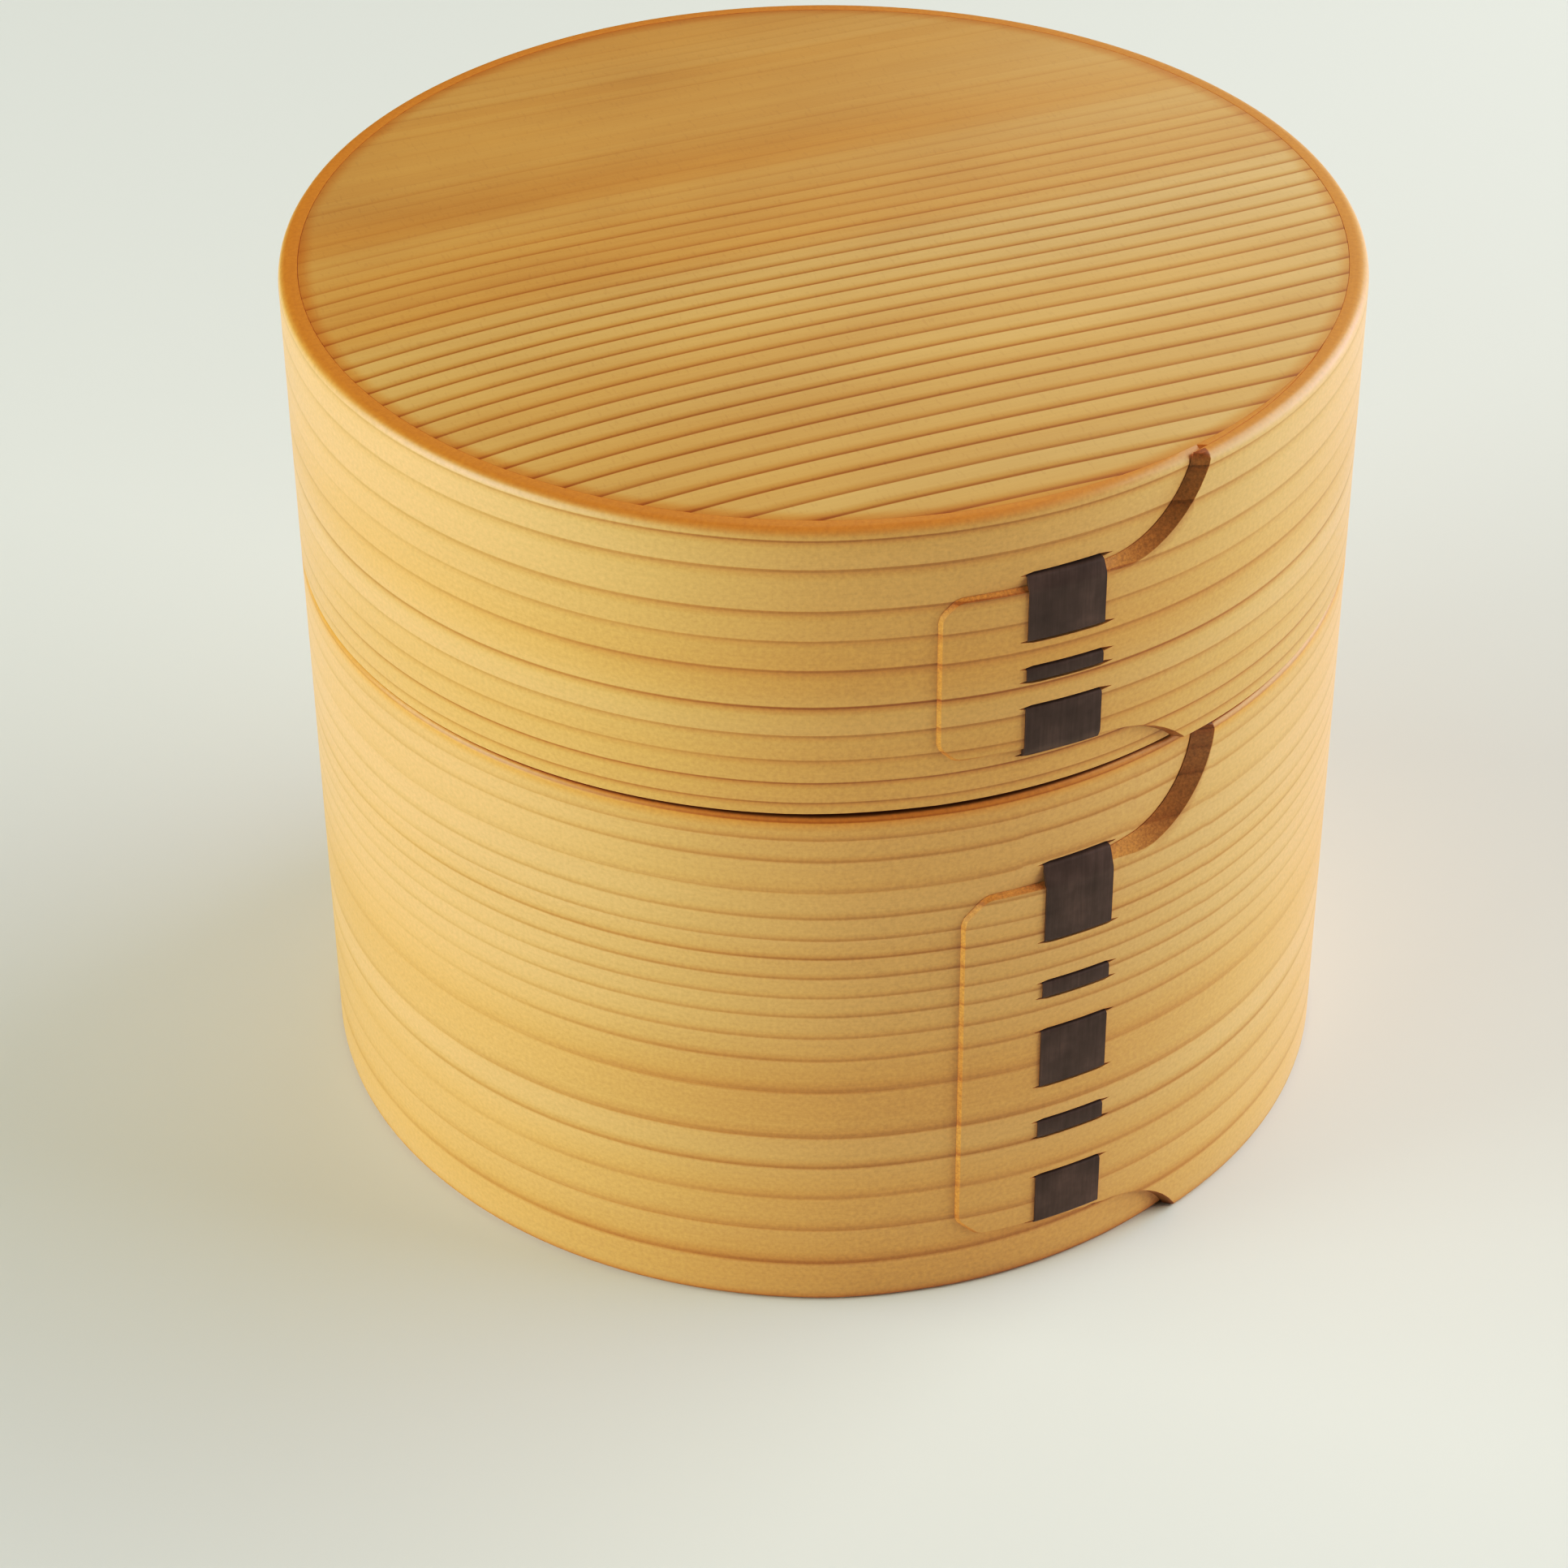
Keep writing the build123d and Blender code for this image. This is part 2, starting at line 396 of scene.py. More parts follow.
def cedar_wall(name, rings, ring_stops, edges):
    """Quarter-sawn cedar strip under satin lacquer: growth rings 2 to 6 mm apart run round the hoop.

    rings holds points of the curve from height in millimetres to ring number. ring_stops are the colours
    from one ring's start to its end, the fourth of them the palest. edges holds the strip's browned edges
    and the painted shade of the seam where the lid meets the box: height of the edge, height where its
    tint has faded out, and tint. The sawn faces drank more lacquer and are browner.
    """
    material = new_material(name)
    place = add_node(material, "ShaderNodeAttribute", {"attribute_name": "blank"})
    parts = add_node(material, "ShaderNodeSeparateXYZ", None, {0: place.outputs["Vector"]})
    along, height, _ = parts.outputs
    foot, top = rings[0][0], rings[-1][0]
    first, last = rings[0][1], rings[-1][1]

    # The rings wander by a few tenths of a millimetre over 100 mm, and tremble a little over 10 mm
    long_place = add_node(
        material, "ShaderNodeMapping", None, {"Vector": place.outputs["Vector"], "Scale": (9, 30, 30)}
    )
    wander = add_node(
        material, "ShaderNodeTexNoise", None,
        {"Vector": long_place.outputs[0], "Scale": 1.0, "Detail": 3.0, "Roughness": 0.35},
    )
    shifted = add_node(
        material, "ShaderNodeMath", {"operation": "MULTIPLY_ADD"},
        {0: wander.outputs["Fac"], 1: 1.6 * mm, 2: height},
    )
    share = add_node(
        material, "ShaderNodeMapRange", None,
        {"Value": shifted.outputs[0], "From Min": (foot + 0.8) * mm, "From Max": (top + 0.8) * mm},
    )
    curve = add_node(material, "ShaderNodeFloatCurve", None, {"Value": share.outputs[0]})
    set_curve(curve, [((z - foot) / (top - foot), (n - first) / (last - first)) for z, n in rings])
    ring = add_node(
        material, "ShaderNodeMath", {"operation": "MULTIPLY_ADD"},
        {0: curve.outputs[0], 1: float(last - first), 2: float(first)},
    )
    phase = add_node(material, "ShaderNodeMath", {"operation": "FRACT"}, {0: ring.outputs[0]})
    number = add_node(material, "ShaderNodeMath", {"operation": "FLOOR"}, {0: ring.outputs[0]})
    wood = add_node(material, "ShaderNodeValToRGB", None, {0: phase.outputs[0]})
    set_ramp(wood, ring_stops)

    # Groups of rings from slow years are warmer
    years = add_node(
        material, "ShaderNodeTexNoise", {"noise_dimensions": "1D"},
        {"W": ring.outputs[0], "Scale": 0.25, "Detail": 1.0, "Roughness": 0.5},
    )
    warm = add_node(
        material, "ShaderNodeMapRange", {"interpolation_type": "SMOOTHSTEP"},
        {"Value": years.outputs["Fac"], "From Min": 0.38, "From Max": 0.72, "To Min": 0.0, "To Max": 0.5},
    )

    # Some rings are fainter than others, each fades in and out along the strip, and all are fainter
    # in its middle, which is the back of the hoop
    cloud = add_node(
        material, "ShaderNodeTexNoise", None,
        {"Vector": long_place.outputs[0], "Scale": 3.3, "Detail": 3.0, "Roughness": 0.5},
    )
    chance = add_node(
        material, "ShaderNodeTexWhiteNoise", {"noise_dimensions": "1D"}, {"W": number.outputs[0]}
    )
    fainter = add_node(
        material, "ShaderNodeMapRange", None,
        {"Value": chance.outputs["Value"], "To Min": -0.35, "To Max": 0.15},
    )
    wavering = add_node(
        material, "ShaderNodeMath", {"operation": "MULTIPLY_ADD"},
        {0: cloud.outputs["Fac"], 1: 0.7, 2: fainter.outputs[0]},
    )
    from_middle = add_node(material, "ShaderNodeMath", {"operation": "SUBTRACT"}, {0: along, 1: 172 * mm})
    to_ends = add_node(material, "ShaderNodeMath", {"operation": "ABSOLUTE"}, {0: from_middle.outputs[0]})
    back = add_node(
        material, "ShaderNodeMapRange", {"interpolation_type": "SMOOTHSTEP"},
        {
            "Value": to_ends.outputs[0], "From Min": 160 * mm, "From Max": 95 * mm, "To Min": 0.0,
            "To Max": 0.35,
        },
    )
    fading = add_node(
        material, "ShaderNodeMath", {"operation": "ADD", "use_clamp": True},
        {0: wavering.outputs[0], 1: back.outputs[0]},
    )
    ringed = add_node(
        material, "ShaderNodeMix", {"data_type": "RGBA"},
        {mix_share: fading.outputs[0], mix_under: wood.outputs[0], mix_over: linear(ring_stops[3][1])},
    )
    warmed = add_node(
        material, "ShaderNodeMix", {"data_type": "RGBA", "blend_type": "MULTIPLY"},
        {mix_share: warm.outputs[0], mix_under: ringed.outputs[mixed], mix_over: linear("#F4E2BE")},
    )

    # Fibres are 12 mm long and 0.25 mm wide, specks 0.5 mm wide, and clouds of tone 30 mm long
    fibre_place = add_node(
        material, "ShaderNodeMapping", None, {"Vector": place.outputs["Vector"], "Scale": (80, 4000, 4000)}
    )
    fibre = add_node(
        material, "ShaderNodeTexNoise", None,
        {"Vector": fibre_place.outputs[0], "Scale": 1.0, "Detail": 3.0, "Roughness": 0.6},
    )
    speck = add_node(
        material, "ShaderNodeTexNoise", None,
        {"Vector": place.outputs["Vector"], "Scale": 2200.0, "Detail": 2.0, "Roughness": 0.6},
    )
    speckled = add_node(
        material, "ShaderNodeMath", {"operation": "MULTIPLY_ADD"},
        {0: speck.outputs["Fac"], 1: 0.4, 2: 0.68},
    )
    tone = add_node(
        material, "ShaderNodeMath", {"operation": "MULTIPLY_ADD"},
        {0: fibre.outputs["Fac"], 1: 0.14, 2: speckled.outputs[0]},
    )
    brightness = add_node(
        material, "ShaderNodeMath", {"operation": "MULTIPLY_ADD"},
        {0: cloud.outputs["Fac"], 1: 0.14, 2: tone.outputs[0]},
    )
    toned = add_node(
        material, "ShaderNodeVectorMath", {"operation": "SCALE"},
        {0: warmed.outputs[mixed], "Scale": brightness.outputs[0]},
    )

    # Lacquer has pooled on the rounded edges; the dark brown tint at the seam between lid and box is painted
    # shade
    wood_colour = toned.outputs[0]
    for edge_height, pale_height, tint in edges:
        near_edge = add_node(
            material, "ShaderNodeMapRange", {"interpolation_type": "SMOOTHSTEP"},
            {
                "Value": height, "From Min": edge_height * mm, "From Max": pale_height * mm,
                "To Min": 1.0, "To Max": 0.0,
            },
        )
        edged = add_node(
            material, "ShaderNodeMix", {"data_type": "RGBA", "blend_type": "MULTIPLY"},
            {mix_share: near_edge.outputs[0], mix_under: wood_colour, mix_over: linear(tint)},
        )
        wood_colour = edged.outputs[mixed]

    # Slanted faces: pale orange on the thin tongue, brown with pores of 0.3 mm on the thick shoulders
    inside_cut = add_node(material, "ShaderNodeAttribute", {"attribute_name": "sawn"})
    sawn = add_node(
        material, "ShaderNodeMapRange", None,
        {"Value": inside_cut.outputs["Fac"], "From Min": -0.05, "From Max": 0.05},
    )
    thick = add_node(
        material, "ShaderNodeMapRange", {"interpolation_type": "SMOOTHSTEP"},
        {"Value": along, "From Min": 14 * mm, "From Max": 26 * mm},
    )
    stain = add_node(
        material, "ShaderNodeMix", {"data_type": "RGBA"},
        {mix_share: thick.outputs[0], mix_under: linear("#FFE6BC"), mix_over: linear("#C0AC8C")},
    )
    pores = add_node(
        material, "ShaderNodeTexNoise", None,
        {"Vector": place.outputs["Vector"], "Scale": 3800.0, "Detail": 3.0, "Roughness": 0.65},
    )
    pored = add_node(
        material, "ShaderNodeMapRange", None,
        {"Value": pores.outputs["Fac"], "From Min": 0.35, "From Max": 0.65, "To Min": 0.75, "To Max": 1.1},
    )
    stained = add_node(
        material, "ShaderNodeVectorMath", {"operation": "SCALE"},
        {0: stain.outputs[mixed], "Scale": pored.outputs[0]},
    )
    final = add_node(
        material, "ShaderNodeMix", {"data_type": "RGBA", "blend_type": "MULTIPLY"},
        {mix_share: sawn.outputs[0], mix_under: wood_colour, mix_over: stained.outputs[0]},
    )

    # Satin lacquer: orange peel 0.7 mm wide over faintly raised fibres, 0.03 mm deep
    peel = add_node(
        material, "ShaderNodeTexNoise", None,
        {"Vector": place.outputs["Vector"], "Scale": 1500.0, "Detail": 2.0, "Roughness": 0.5},
    )
    relief = add_node(
        material, "ShaderNodeMath", {"operation": "MULTIPLY_ADD"},
        {0: peel.outputs["Fac"], 1: 0.5, 2: fibre.outputs["Fac"]},
    )
    bump = add_node(
        material, "ShaderNodeBump", None,
        {"Strength": 0.25, "Distance": 0.03 * mm, "Height": relief.outputs[0]},
    )
    roughness = add_node(
        material, "ShaderNodeMapRange", None,
        {"Value": peel.outputs["Fac"], "To Min": 0.4, "To Max": 0.52},
    )
    shader = add_node(
        material, "ShaderNodeBsdfPrincipled", None,
        {
            "Base Color": final.outputs[mixed], "Roughness": roughness.outputs[0], "Normal": bump.outputs[0],
            "IOR": 1.46, "Coat Weight": 0.14, "Coat Roughness": 0.25,
        },
    )
    add_node(material, "ShaderNodeOutputMaterial", None, {"Surface": shader.outputs[0]})
    return material


# Rings of the box wall: a dark line at the lower side of each, fading upwards
box_rings = (
    (0.0, 0.0), (6.0, 1.2), (14.9, 3.2), (23.3, 5.2), (29.3, 6.2), (35.8, 8.2), (43.2, 11.2), (50.7, 14.2),
    (57.7, 16.2), (seam_height, 18.4),
)
box_ring_colours = (
    (0.0, "#B27B43"), (0.055, "#B47F46"), (0.12, "#CA965B"), (0.32, "#D7A66C"), (0.93, "#D9A870"),
    (0.975, "#C89358"), (1.0, "#B27B43"),
)
# The foot and top tints are pooled lacquer; the last, dark brown tint is painted shade, darkening the wall's
# top face and upper arris under the lid's foot
box_edge_tints_and_seam_shade = (
    (0.1, 1.2, "#F0D0A0"), (seam_height - 0.5, seam_height - 1.9, "#FFE8B6"),
    (seam_height - seam_slack, seam_height - 0.35, "#805838"),
)
box_wood = cedar_wall("lacquered_cedar_box_wall", box_rings, box_ring_colours, box_edge_tints_and_seam_shade)
box_wall = bent_hoop("box_wall", box_lap, [box_wood])
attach(box_wall, "box")
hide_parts("box_hoop")

# ---- Box base ---------------------------------------------------------------------------------------
# A round cedar board, glued in the rabbet at the wall's foot. It stands flush with the wall's foot.
board_radius = outer_radius - lip
board_gap = 0.02  # glue line round a board
board_sides = 240  # flat sides of its rim


def round_board(name, foot, top, show_top, materials):
    """A sawn disc, the rim of its outer face eased, with a hair of glue line round it."""
    bm = bmesh.new()
    bmesh.ops.create_cone(
        bm, cap_ends=True, segments=board_sides,
        radius1=board_radius - board_gap, radius2=board_radius - board_gap,
        depth=top - foot,
    )
    bmesh.ops.translate(bm, verts=bm.verts[:], vec=(0, 0, (foot + top) / 2))
    shown = top if show_top else foot
    rim = [edge for edge in bm.edges if all(abs(v.co.z - shown) < same for v in edge.verts)]
    bmesh.ops.bevel(
        bm, geom=rim, offset=0.05, affect="EDGES", segments=2, profile=0.5, material=-1
    )
    bmesh.ops.scale(bm, verts=bm.verts[:], vec=(mm, mm, mm))
    return finished(bm, name, materials)


def cedar_board(name, turn):
    """Cedar board under satin lacquer: rings 1.8 to 3.4 mm apart run nearly straight across it.

    turn is the grain's direction in degrees. Rings are closer and fainter on the side to its left.
    """
    material = new_material(name)
    place = add_node(material, "ShaderNodeTexCoord")
    turned = add_node(
        material, "ShaderNodeMapping", {"vector_type": "TEXTURE"},
        {"Vector": place.outputs["Object"], "Rotation": (0, 0, radians(turn))},
    )
    parts = add_node(material, "ShaderNodeSeparateXYZ", None, {0: turned.outputs[0]})
    along, across, _ = parts.outputs

    # The grain bends away on one side, as a board cut beside a knot does
    far = add_node(material, "ShaderNodeMath", {"operation": "SUBTRACT"}, {0: along, 1: 10 * mm})
    square = add_node(
        material, "ShaderNodeMath", {"operation": "MULTIPLY"}, {0: far.outputs[0], 1: far.outputs[0]}
    )
    cube = add_node(
        material, "ShaderNodeMath", {"operation": "MULTIPLY"}, {0: square.outputs[0], 1: far.outputs[0]}
    )
    fan = add_node(
        material, "ShaderNodeMath", {"operation": "MULTIPLY_ADD"}, {0: across, 1: 250.0, 2: -14.0}
    )
    straight = add_node(
        material, "ShaderNodeMath", {"operation": "MULTIPLY_ADD"},
        {0: cube.outputs[0], 1: fan.outputs[0], 2: across},
    )
    slow_place = add_node(
        material, "ShaderNodeMapping", None, {"Vector": turned.outputs[0], "Scale": (14, 30, 30)}
    )
    wander = add_node(
        material, "ShaderNodeTexNoise", None,
        {"Vector": slow_place.outputs[0], "Scale": 1.0, "Detail": 3.0, "Roughness": 0.4},
    )
    ring_place = add_node(
        material, "ShaderNodeMath", {"operation": "MULTIPLY_ADD"},
        {0: wander.outputs["Fac"], 1: 2.0 * mm, 2: straight.outputs[0]},
    )
    # 420 rings to the metre in the middle, 300 at the near side and 540 at the far side
    density = add_node(
        material, "ShaderNodeMath", {"operation": "MULTIPLY_ADD"},
        {0: ring_place.outputs[0], 1: 1350.0, 2: 420.0},
    )
    ring = add_node(
        material, "ShaderNodeMath", {"operation": "MULTIPLY"},
        {0: density.outputs[0], 1: ring_place.outputs[0]},
    )
    phase = add_node(material, "ShaderNodeMath", {"operation": "FRACT"}, {0: ring.outputs[0]})
    number = add_node(material, "ShaderNodeMath", {"operation": "FLOOR"}, {0: ring.outputs[0]})
    wood = add_node(material, "ShaderNodeValToRGB", None, {0: phase.outputs[0]})
    set_ramp(
        wood,
        (
            (0.0, "#986323"), (0.06, "#A36D2E"), (0.15, "#BF8D4C"), (0.4, "#D2A368"), (0.96, "#D5A76C"),
            (1.0, "#986323"),
        ),
    )
    years = add_node(
        material, "ShaderNodeTexNoise", {"noise_dimensions": "1D"},
        {"W": ring.outputs[0], "Scale": 0.16, "Detail": 1.0, "Roughness": 0.5},
    )
    warm = add_node(
        material, "ShaderNodeMapRange", {"interpolation_type": "SMOOTHSTEP"},
        {"Value": years.outputs["Fac"], "From Min": 0.34, "From Max": 0.76, "To Min": 0.0, "To Max": 0.6},
    )
    chance = add_node(
        material, "ShaderNodeTexWhiteNoise", {"noise_dimensions": "1D"}, {"W": number.outputs[0]}
    )
    faint = add_node(
        material, "ShaderNodeMapRange", {"interpolation_type": "SMOOTHSTEP"},
        {
            "Value": ring_place.outputs[0], "From Min": -18 * mm, "From Max": 32 * mm, "To Min": 0.0,
            "To Max": 0.78,
        },
    )
    fading = add_node(
        material, "ShaderNodeMath", {"operation": "MULTIPLY_ADD", "use_clamp": True},
        {0: chance.outputs["Value"], 1: 0.3, 2: faint.outputs[0]},
    )
    ringed = add_node(
        material, "ShaderNodeMix", {"data_type": "RGBA"},
        {mix_share: fading.outputs[0], mix_under: wood.outputs[0], mix_over: linear("#C69458")},
    )
    warmed = add_node(
        material, "ShaderNodeMix", {"data_type": "RGBA", "blend_type": "MULTIPLY"},
        {mix_share: warm.outputs[0], mix_under: ringed.outputs[mixed], mix_over: linear("#F2DDB4")},
    )

    # Fibres 10 mm long, flecks of ray tissue 1.4 mm long across them, and slow clouds of tone
    fibre_place = add_node(
        material, "ShaderNodeMapping", None, {"Vector": turned.outputs[0], "Scale": (100, 3500, 3500)}
    )
    fibre = add_node(
        material, "ShaderNodeTexNoise", None,
        {"Vector": fibre_place.outputs[0], "Scale": 1.0, "Detail": 3.0, "Roughness": 0.6},
    )
    fleck_place = add_node(
        material, "ShaderNodeMapping", None, {"Vector": turned.outputs[0], "Scale": (3000, 700, 700)}
    )
    fleck = add_node(
        material, "ShaderNodeTexNoise", None,
        {"Vector": fleck_place.outputs[0], "Scale": 1.0, "Detail": 2.0, "Roughness": 0.5},
    )
    flecked = add_node(
        material, "ShaderNodeMapRange", {"interpolation_type": "SMOOTHSTEP"},
        {"Value": fleck.outputs["Fac"], "From Min": 0.56, "From Max": 0.72, "To Min": 0.78, "To Max": 0.71},
    )
    tone = add_node(
        material, "ShaderNodeMath", {"operation": "MULTIPLY_ADD"},
        {0: fibre.outputs["Fac"], 1: 0.16, 2: flecked.outputs[0]},
    )
    cloud = add_node(
        material, "ShaderNodeTexNoise", None,
        {"Vector": slow_place.outputs[0], "Scale": 2.4, "Detail": 3.0, "Roughness": 0.5},
    )
    brightness = add_node(
        material, "ShaderNodeMath", {"operation": "MULTIPLY_ADD"},
        {0: cloud.outputs["Fac"], 1: 0.36, 2: tone.outputs[0]},
    )
    toned = add_node(
        material, "ShaderNodeVectorMath", {"operation": "SCALE"},
        {0: warmed.outputs[mixed], "Scale": brightness.outputs[0]},
    )

    # Lacquer pooled along the rim
    flat = add_node(
        material, "ShaderNodeVectorMath", {"operation": "MULTIPLY"},
        {0: place.outputs["Object"], 1: (1, 1, 0)},
    )
    radius = add_node(material, "ShaderNodeVectorMath", {"operation": "LENGTH"}, {0: flat.outputs[0]})
    uneven = add_node(
        material, "ShaderNodeMath", {"operation": "MULTIPLY_ADD"},
        {0: cloud.outputs["Fac"], 1: 1.6 * mm, 2: radius.outputs["Value"]},
    )
    pooled = add_node(
        material, "ShaderNodeMapRange", {"interpolation_type": "SMOOTHSTEP"},
        {
            "Value": uneven.outputs[0], "From Min": (board_radius - 0.9) * mm,
            "From Max": (board_radius + 0.9) * mm, "To Min": 0.0, "To Max": 0.9,
        },
    )
    edged = add_node(
        material, "ShaderNodeMix", {"data_type": "RGBA", "blend_type": "MULTIPLY"},
        {mix_share: pooled.outputs[0], mix_under: toned.outputs[0], mix_over: linear("#EED4A6")},
    )
    peel = add_node(
        material, "ShaderNodeTexNoise", None,
        {"Vector": place.outputs["Object"], "Scale": 1500.0, "Detail": 2.0, "Roughness": 0.5},
    )
    relief = add_node(
        material, "ShaderNodeMath", {"operation": "MULTIPLY_ADD"},
        {0: peel.outputs["Fac"], 1: 0.5, 2: fibre.outputs["Fac"]},
    )
    bump = add_node(
        material, "ShaderNodeBump", None,
        {"Strength": 0.3, "Distance": 0.03 * mm, "Height": relief.outputs[0]},
    )
    shader = add_node(
        material, "ShaderNodeBsdfPrincipled", None,
        {
            "Base Color": edged.outputs[mixed], "Roughness": 0.48, "Normal": bump.outputs[0],
            "IOR": 1.46, "Coat Weight": 0.1, "Coat Roughness": 0.3,
        },
    )
    add_node(material, "ShaderNodeOutputMaterial", None, {"Surface": shader.outputs[0]})
    return material


base_wood = cedar_board("lacquered_cedar_base", 8)
box_base_board = round_board("box_base_board", 0, base_thickness, False, [base_wood])
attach(box_base_board, "box")
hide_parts("box_base")

# ---- Inner ring -------------------------------------------------------------------------------------
# A thinner cedar strip, its ends shaved to a scarf, bent and glued inside the box's mouth. It stands
# 9 mm above the wall, and the lid slides over it. Its top edge is rounded on both sides.
ring_foot = round(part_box("box_collar")[0].z / mm, 1)
ring_top = round(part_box("box_collar")[1].z / mm, 1)
ring_wall = 1.9
scarf_turn = 26.0
ring_rounding = 0.6
ring_end = 0.1  # thickness left at both ends of its strip


def scarfed_ring(name, tip, materials):
    """Bends a strip whose two shaved ends overlap to one wall's thickness."""
    bm = bmesh.new()
    radius = box_bore
    scarf = radians(scarf_turn) * radius
    length = 2 * pi * radius + scarf
    outline = ((0, ring_foot, 0), (length, ring_foot, 0), (length, ring_top, 0), (0, ring_top, 0))
    bm.faces.new([bm.verts.new(corner) for corner in outline])
    step = radians(column) * radius
    along = step
    while along < length - 0.1:
        cut(bm, (along, 0, 0), (1, 0, 0))
        along += step
    for share in mesh_steps:
        cut(bm, (0, ring_top - share * ring_rounding, 0), (0, 1, 0))
    blank = bm.verts.layers.float_vector.new("blank")
    outside = bm.verts.layers.int.new("outside")
    made = bmesh.ops.extrude_face_region(bm, geom=bm.faces[:])
    for item in made["geom"]:
        if isinstance(item, bmesh.types.BMVert):
            item[outside] = 1
    for vert in bm.verts:
        x, y = vert.co.x, vert.co.y
        past = x - 2 * pi * radius
        shaved = ring_end + (ring_wall - 2 * ring_end) * min(x / scarf, 1)
        sunk = ring_end + (ring_wall - 2 * ring_end) * max(past / scarf, 0) if past > 0 else 0
        short = min(max(ring_rounding - (ring_top - y), 0), ring_rounding)
        rounding = ring_rounding - sqrt(ring_rounding ** 2 - short ** 2)
        # Where the scarf leaves one layer thin, the rounding is taken off the other layer
        if vert[outside]:
            vert.co.z = -(sunk + rounding * (1 if sunk < 0.7 else 0.2))
        else:
            depth = shaved - least_wood if x < scarf else ring_wall
            vert.co.z = -max(depth - rounding * (1 if depth > 1.2 else 0), sunk + rounding + 0.03)
        vert[blank] = vert.co * mm
        turn = radians(tip) + vert.co.x / radius
        reach = radius + vert.co.z
        vert.co = Vector((reach * sin(turn), -reach * cos(turn), vert.co.y)) * mm
    return finished(bm, name, materials)


ring_rings = ((ring_foot, 0.2), (54.0, 3.0), (63.0, 6.3), (ring_top, 9.7))
ring_edges = ((ring_top, ring_top - 1.2, "#F0C890"),)
ring_wood = cedar_wall("lacquered_cedar_inner_ring", ring_rings, box_ring_colours, ring_edges)
inner_ring = scarfed_ring("inner_ring", 150, [ring_wood])
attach(inner_ring, "box")
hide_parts("box_collar")

# ---- Box lacing -------------------------------------------------------------------------------------
# One strip of dark cherry bark, 7.5 mm wide and 0.45 mm thick, threaded down through slits in both
# layers of the lap: long and short stitches outside, short runs inside, and both ends tucked in.
bark_thickness = 0.45
tuck_depth = 1.6
fold_radius = 0.3
edge_turn = 0.25  # the bark folds over the tongue's edge this far from it
upper_lift, lower_lift = 0.1, 0.3  # of its folds beside the tongue off the layer below
width_steps = 10  # faces over the bark's width
box_stitches = ((43.6, 53.05), (36.5, 38.8), (25.0, 32.6), (18.2, 20.7), (6.5, 13.3))


def bark_lacing(name, lap, stitches, materials):
    """Draws the strip's course as one line, turns it round the hoop over its width, and thickens it."""
    bm = bmesh.new()
    start, width = lap["lacing"]
    half = bark_thickness / 2
    outside = lap["radius"] + half
    inside = lap["radius"] - lap["wall"] - half
    tucked = lap["radius"] - tuck_depth
    low_edge, high_edge = lap["tongue"]
    step_down = glue_depth(lap, start + width / 2)
    course = []
    for number, (low, high) in enumerate(stitches):
        first = number == 0
        last = number == len(stitches) - 1
        course.append((tucked if first else inside, high - half))
        if first:
            course.append((outside - step_down + upper_lift, high - half))
            course.append((outside, high_edge - edge_turn))
        else:
            course.append((outside, high - half))
        if last:
            course.append((outside, low_edge + edge_turn))
            course.append((outside - step_down + lower_lift, low + half))
        else:
            course.append((outside, low + half))
        course.append((tucked if last else inside, low + half))
    chain = [bm.verts.new((radius, 0, height)) for radius, height in course]
    edges = [bm.edges.new(pair) for pair in zip(chain, chain[1:])]
    sweep = width / lap["radius"]
    bmesh.ops.spin(
        bm, geom=chain + edges, cent=(0, 0, 0), axis=(0, 0, 1), dvec=(0, 0, 0), angle=sweep,
        steps=width_steps, use_merge=False, use_duplicate=False,
    )
    folds = [
        edge
        for edge in bm.edges
        if len(edge.link_faces) == 2
        and abs(edge.verts[0].co.z - edge.verts[1].co.z) < same
        and abs(edge.verts[0].co.xy.length - edge.verts[1].co.xy.length) < 10 * same
        and edge.calc_face_angle(0) > 0.2
    ]
    bmesh.ops.bevel(
        bm, geom=folds, offset=fold_radius, affect="EDGES", segments=4, profile=0.5, material=-1,
        clamp_overlap=True,
    )
    bmesh.ops.recalc_face_normals(bm, faces=bm.faces[:])
    bmesh.ops.solidify(bm, geom=bm.faces[:], thickness=bark_thickness)
    turn = Matrix.Rotation(radians(lap["tip"]) + start / lap["radius"] - pi / 2, 4, "Z")
    bmesh.ops.transform(bm, matrix=Matrix.Scale(mm, 4) @ turn, verts=bm.verts[:])
    return finished(bm, name, materials, 50)


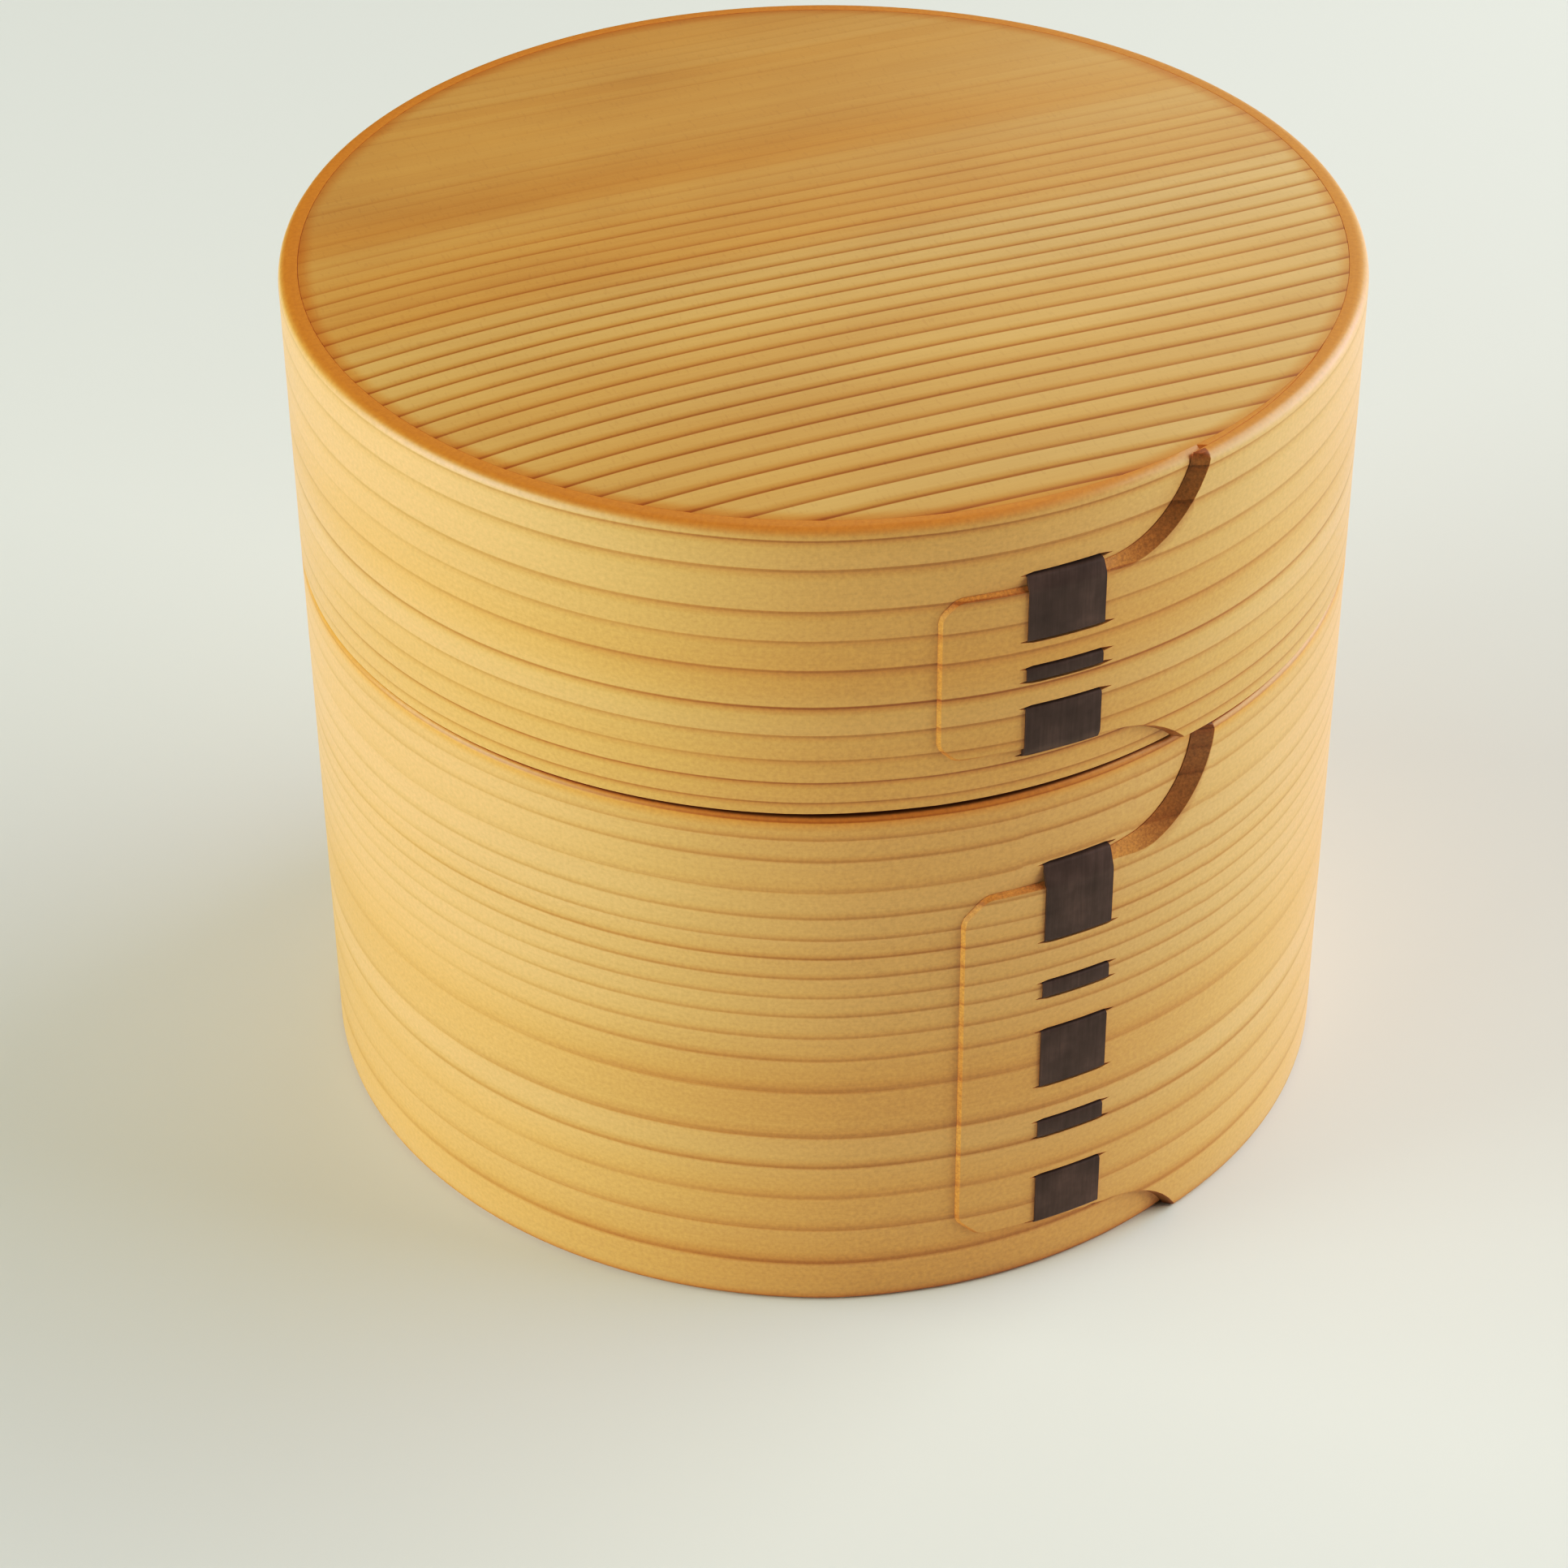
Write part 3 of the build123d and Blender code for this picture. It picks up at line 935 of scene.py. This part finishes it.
def cherry_bark(name):
    """Polished cherry bark: dark purple-brown and satin, with fine raised lines along the strip.

    The lines are 0.4 mm wide and about 10 mm long, and the clouds of tone are 4 mm wide.
    """
    material = new_material(name)
    place = add_node(material, "ShaderNodeTexCoord")
    line_place = add_node(
        material, "ShaderNodeMapping", None,
        {"Vector": place.outputs["Object"], "Rotation": (0, 0, radians(-20)), "Scale": (2600, 90, 160)},
    )
    lines = add_node(
        material, "ShaderNodeTexNoise", None,
        {"Vector": line_place.outputs[0], "Scale": 1.0, "Detail": 4.0, "Roughness": 0.65},
    )
    cloud = add_node(
        material, "ShaderNodeTexNoise", None,
        {"Vector": place.outputs["Object"], "Scale": 260.0, "Detail": 3.0, "Roughness": 0.6},
    )
    both = add_node(
        material, "ShaderNodeMath", {"operation": "MULTIPLY_ADD"},
        {0: lines.outputs["Fac"], 1: 0.55, 2: cloud.outputs["Fac"]},
    )
    shade = add_node(
        material, "ShaderNodeMapRange", None,
        {"Value": both.outputs[0], "From Min": 0.5, "From Max": 1.05},
    )
    colour = add_node(material, "ShaderNodeValToRGB", None, {0: shade.outputs[0]})
    set_ramp(colour, ((0.0, "#4A372F"), (0.5, "#57433B"), (1.0, "#685249")))
    bump = add_node(
        material, "ShaderNodeBump", None,
        {"Strength": 0.4, "Distance": 0.04 * mm, "Height": lines.outputs["Fac"]},
    )
    shader = add_node(
        material, "ShaderNodeBsdfPrincipled", None,
        {
            "Base Color": colour.outputs[0], "Roughness": 0.5, "Normal": bump.outputs[0], "IOR": 1.45,
            "Specular IOR Level": 0.3,
        },
    )
    add_node(material, "ShaderNodeOutputMaterial", None, {"Surface": shader.outputs[0]})
    return material


bark = cherry_bark("polished_cherry_bark")
box_bark = bark_lacing("box_bark", box_lap, box_stitches, [bark])
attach(box_bark, "box")
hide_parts("box_lacing")

# ---- Lid wall ---------------------------------------------------------------------------------------
# A second strip, bent, lapped and laced like the first, a little thinner so that it slides over the
# inner ring. Its top edge is rounded well over, and the board is let into a rabbet inside it.
overall_height = round(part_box("lid_hoop")[1].z / mm, 1)
lid_board_foot = round(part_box("lid_board")[0].z / mm, 1)
lid_lap = {
    "tip": 11.2,
    "foot": seam_height,
    "dip": 0.0,
    "top": overall_height,
    "radius": outer_radius,
    "wall": 2.6,
    "tongue": (67.6, 86.1),
    "shoulders": (66.8, 86.6),
    "scoops": ((30.8, 66.6, 13.9), (28.1, 86.9, 11.1)),
    "wide_cuts": (0.6, 1.4),
    "cut_corner": 1.8,
    "lacing": (8.7, 8.0),
    "tip_thickness": 0.36,
    "rabbet": (lid_board_foot, overall_height + 1),
    "arrises": (0.25, 1.1),
    "slits": (87.2, 80.2, 77.1, 75.6, 72.6, 66.8),
}

# Rings of the lid wall: a dark line at the upper side of each, fading downwards
lid_rings = (
    (seam_height, 0.4), (69.0, 3.0), (75.1, 5.0), (79.2, 6.0), (85.8, 8.0), (90.3, 9.0),
    (overall_height, 10.4),
)
lid_ring_colours = (
    (0.0, "#A16931"), (0.012, "#C69253"), (0.03, "#D9A86E"), (0.70, "#D7A669"), (0.85, "#CD9758"),
    (0.93, "#BE8346"), (0.95, "#A16931"), (1.0, "#A16931"),
)
# The top tint is pooled lacquer; the dark brown tint at the foot is painted shade, darkening the face that
# rests on the box
lid_edge_tints_and_seam_shade = (
    (overall_height - 0.02, overall_height - 0.9, "#F0CA8C"),
    (seam_height, seam_height + 0.1, "#805838"),
)
lid_wood = cedar_wall("lacquered_cedar_lid_wall", lid_rings, lid_ring_colours, lid_edge_tints_and_seam_shade)
lid_wall = bent_hoop("lid_wall", lid_lap, [lid_wood])
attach(lid_wall, "lid")
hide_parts("lid_hoop")

# ---- Lid board --------------------------------------------------------------------------------------
# A round cedar board, glued flush into the rabbet in the top of the lid's wall.
lid_board_wood = cedar_board("lacquered_cedar_lid_board", 21.5)
lid_top_board = round_board("lid_top_board", lid_board_foot, overall_height, True, [lid_board_wood])
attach(lid_top_board, "lid")
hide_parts("lid_board")

# ---- Lid lacing -------------------------------------------------------------------------------------
# The same bark, 8 mm wide here, in three stitches: long, short and long.
lid_stitches = ((80.0, 87.4), (75.4, 77.3), (66.6, 72.8))
lid_bark = bark_lacing("lid_bark", lid_lap, lid_stitches, [bark])
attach(lid_bark, "lid")
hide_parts("lid_lacing")

# ---- Stage, light and camera ------------------------------------------------------------------------
# A pale table top under soft light from both sides, and the camera in front, looking down at the box.
floor_reach = 3.0  # metres from the box to the floor's edges
bm = bmesh.new()
bmesh.ops.create_grid(bm, x_segments=1, y_segments=1, size=floor_reach)
floor = finished(bm, "floor", [])
floor_paint = new_material("pale_table")
shader = add_node(
    floor_paint, "ShaderNodeBsdfPrincipled", None,
    {"Base Color": linear("#E4E7DC"), "Roughness": 0.6},
)
add_node(floor_paint, "ShaderNodeOutputMaterial", None, {"Surface": shader.outputs[0]})
floor.data.materials.append(floor_paint)

world = bpy.data.worlds.new("dim_studio")
bpy.context.scene.world = world
world.use_nodes = True
world.node_tree.nodes["Background"].inputs["Strength"].default_value = 0.0


light_distance = 1.2  # metres


def softbox(name, azimuth, elevation, size, power, colour="#FFFFFF"):
    """A square area light, its size in metres and power in watts, that faces the middle of the box."""
    light = bpy.data.lights.new(name, "AREA")
    light.color = linear(colour)[:3]
    light.size = size
    light.energy = power
    holder = bpy.data.objects.new(name, light)
    bpy.context.scene.collection.objects.link(holder)
    middle = Vector((0, 0, 0.05))
    level = cos(radians(elevation))
    away = Vector((level * sin(radians(azimuth)), -level * cos(radians(azimuth)), sin(radians(elevation))))
    holder.location = middle + light_distance * away
    holder.rotation_mode = "QUATERNION"
    holder.rotation_quaternion = away.to_track_quat("Z", "Y")


softbox("left_softbox", -80, 20, 0.9, 12.8, "#FAFFF8")
softbox("low_left_softbox", -59, 13, 0.9, 9.2, "#FAFFF8")
softbox("right_softbox", 104, 20, 1.4, 29.5)
softbox("back_softbox", 140, 30, 1.6, 6.5)

# The camera stands 0.38 m in front of the box's axis and 0.3 m above the table
camera = bpy.data.objects.new("camera", bpy.data.cameras.new("camera"))
camera.data.sensor_width = 36
camera.data.lens = 96.29
camera.matrix_world = (
    Matrix.Translation((0, -0.37578, 0.29953))
    @ Matrix.Rotation(radians(0.6676), 4, "Z")
    @ Matrix.Rotation(radians(53.9854), 4, "X")
    @ Matrix.Rotation(radians(-0.4755), 4, "Z")
)
bpy.context.scene.collection.objects.link(camera)
bpy.context.scene.camera = camera

# The camera's film curve: deeper shadows and softer highlights than the plain scene values
film = bpy.context.scene.view_settings
film.view_transform = "Standard"
film.use_curve_mapping = True
film.curve_mapping.use_clip = False
all_channels = 3
film_curve = film.curve_mapping.curves[all_channels]
film_points = ((0.06, 0.034), (0.125, 0.086), (0.22, 0.197), (0.31, 0.308), (0.5, 0.522), (0.67, 0.654))
for scene_value, film_value in film_points:
    film_curve.points.new(scene_value, film_value)
film_curve.points[-1].location = (1.0, 0.89)
film.curve_mapping.update()
